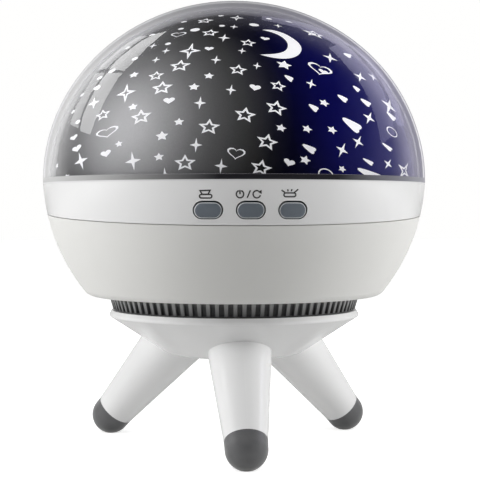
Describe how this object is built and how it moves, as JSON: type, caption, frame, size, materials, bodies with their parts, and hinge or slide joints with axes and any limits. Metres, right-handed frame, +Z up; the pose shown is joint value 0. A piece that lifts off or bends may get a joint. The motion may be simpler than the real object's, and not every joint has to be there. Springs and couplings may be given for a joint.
{
  "type": "planetarium projector",
  "caption": "Round star projector night light: a printed star dome turns under a clear dome on a ball-shaped base with front buttons, on a splayed tripod stand.",
  "frame": {"origin": "on the lamp's upright axis at table height, under the middle of the dome", "axes": "+Z up along the lamp's axis, -Y towards the front with the buttons and one leg"},
  "size_m": [0.125, 0.125, 0.145],
  "materials": {
    "gloss_white": "gloss moulded",
    "satin_white": "fine satin moulded",
    "clear_dome": "polished clear",
    "star_print": "dark print on clear plastic",
    "grip_grey": "ribbed satin",
    "foot_rubber": "soft satin",
    "button_grey": "satin",
    "gear_white": "moulded",
    "inner_white": "moulded",
    "bush_tan": "self-lubricating",
    "black_plastic": "moulded",
    "circuit_green": "solder mask",
    "screw_steel": "zinc plated",
    "motor_steel": "pressed steel",
    "contact_nickel": "nickel plated",
    "pin_brass": "plated",
    "cell_wrap": "printed wrap on a metal can",
    "led_clear": "clear resin",
    "lens_clear": "polished clear",
    "lead_red": "soft insulation"
  },
  "bodies": {
    "stand": {"base_cap": "gloss_white", "leg_front": "gloss_white", "leg_left": "gloss_white", "leg_right": "gloss_white", "foot_front": "foot_rubber", "foot_left": "foot_rubber", "foot_right": "foot_rubber", "leg_screws": "screw_steel", "grip_ring": "grip_grey", "cap_screws": "screw_steel"},
    "turntable": {"turntable": "gear_white", "star_dome": "star_print"},
    "drive": {"pinion": "gear_white", "motor_shaft": "screw_steel"},
    "key_left": {"button_left": "button_grey", "plunger_left": "black_plastic"},
    "key_middle": {"button_middle": "button_grey", "plunger_middle": "black_plastic"},
    "key_right": {"button_right": "button_grey", "plunger_right": "black_plastic"},
    "cover": {"dome_cover": "clear_dome"},
    "lamp_body": {"lower_housing": "satin_white", "upper_housing": "gloss_white", "housing_screws": "screw_steel", "deck": "inner_white", "deck_screws": "screw_steel", "bearing_bush": "bush_tan", "lamp_post": "inner_white", "led_board": "circuit_green", "leds": "led_clear", "lamp_lens": "lens_clear", "lamp_screws": "screw_steel", "gear_motor": "motor_steel", "motor_screws": "screw_steel", "main_board": "circuit_green", "main_board_screws": "screw_steel", "board_parts": "black_plastic", "button_board": "circuit_green", "button_board_screws": "screw_steel", "switch_left": "black_plastic", "switch_middle": "black_plastic", "switch_right": "black_plastic", "battery_box": "inner_white", "box_screws": "screw_steel", "cell_left": "cell_wrap", "cell_middle": "cell_wrap", "cell_right": "cell_wrap", "battery_contacts": "contact_nickel", "battery_door": "satin_white", "door_screws": "screw_steel", "power_socket": "black_plastic", "socket_pin": "pin_brass", "lamp_leads": "lead_red", "motor_leads": "lead_red", "button_leads": "lead_red", "socket_leads": "lead_red", "battery_leads": "lead_red"}
  },
  "joints": [
    {"name": "stand_twist", "type": "hinge", "parent": "stand", "child": "lamp_body", "pos_m": [0, 0, 0.0465], "axis": [0, 0, 1], "range_deg": [0, 30]},
    {"name": "star_dome_spin", "type": "hinge", "parent": "lamp_body", "child": "turntable", "pos_m": [0, 0, 0.0866], "axis": [0, 0, 1], "continuous": true},
    {"name": "pinion_spin", "type": "hinge", "parent": "lamp_body", "child": "drive", "pos_m": [0, 0.0256, 0.0833], "axis": [0, 0, 1], "continuous": true},
    {"name": "cover_lift", "type": "slide", "parent": "lamp_body", "child": "cover", "axis": [0, 0, 1], "range_m": [0, 0.07]},
    {"name": "button_left_press", "type": "slide", "parent": "lamp_body", "child": "key_left", "axis": [0, 1, 0], "range_m": [0, 0.0007], "stiffness_N_per_m": 1500},
    {"name": "button_middle_press", "type": "slide", "parent": "lamp_body", "child": "key_middle", "axis": [0, 1, 0], "range_m": [0, 0.0007], "stiffness_N_per_m": 1500},
    {"name": "button_right_press", "type": "slide", "parent": "lamp_body", "child": "key_right", "axis": [0, 1, 0], "range_m": [0, 0.0007], "stiffness_N_per_m": 1500}
  ],
  "couplings": [
    {"joint": "pinion_spin", "follows": "star_dome_spin", "ratio": 5}
  ]
}
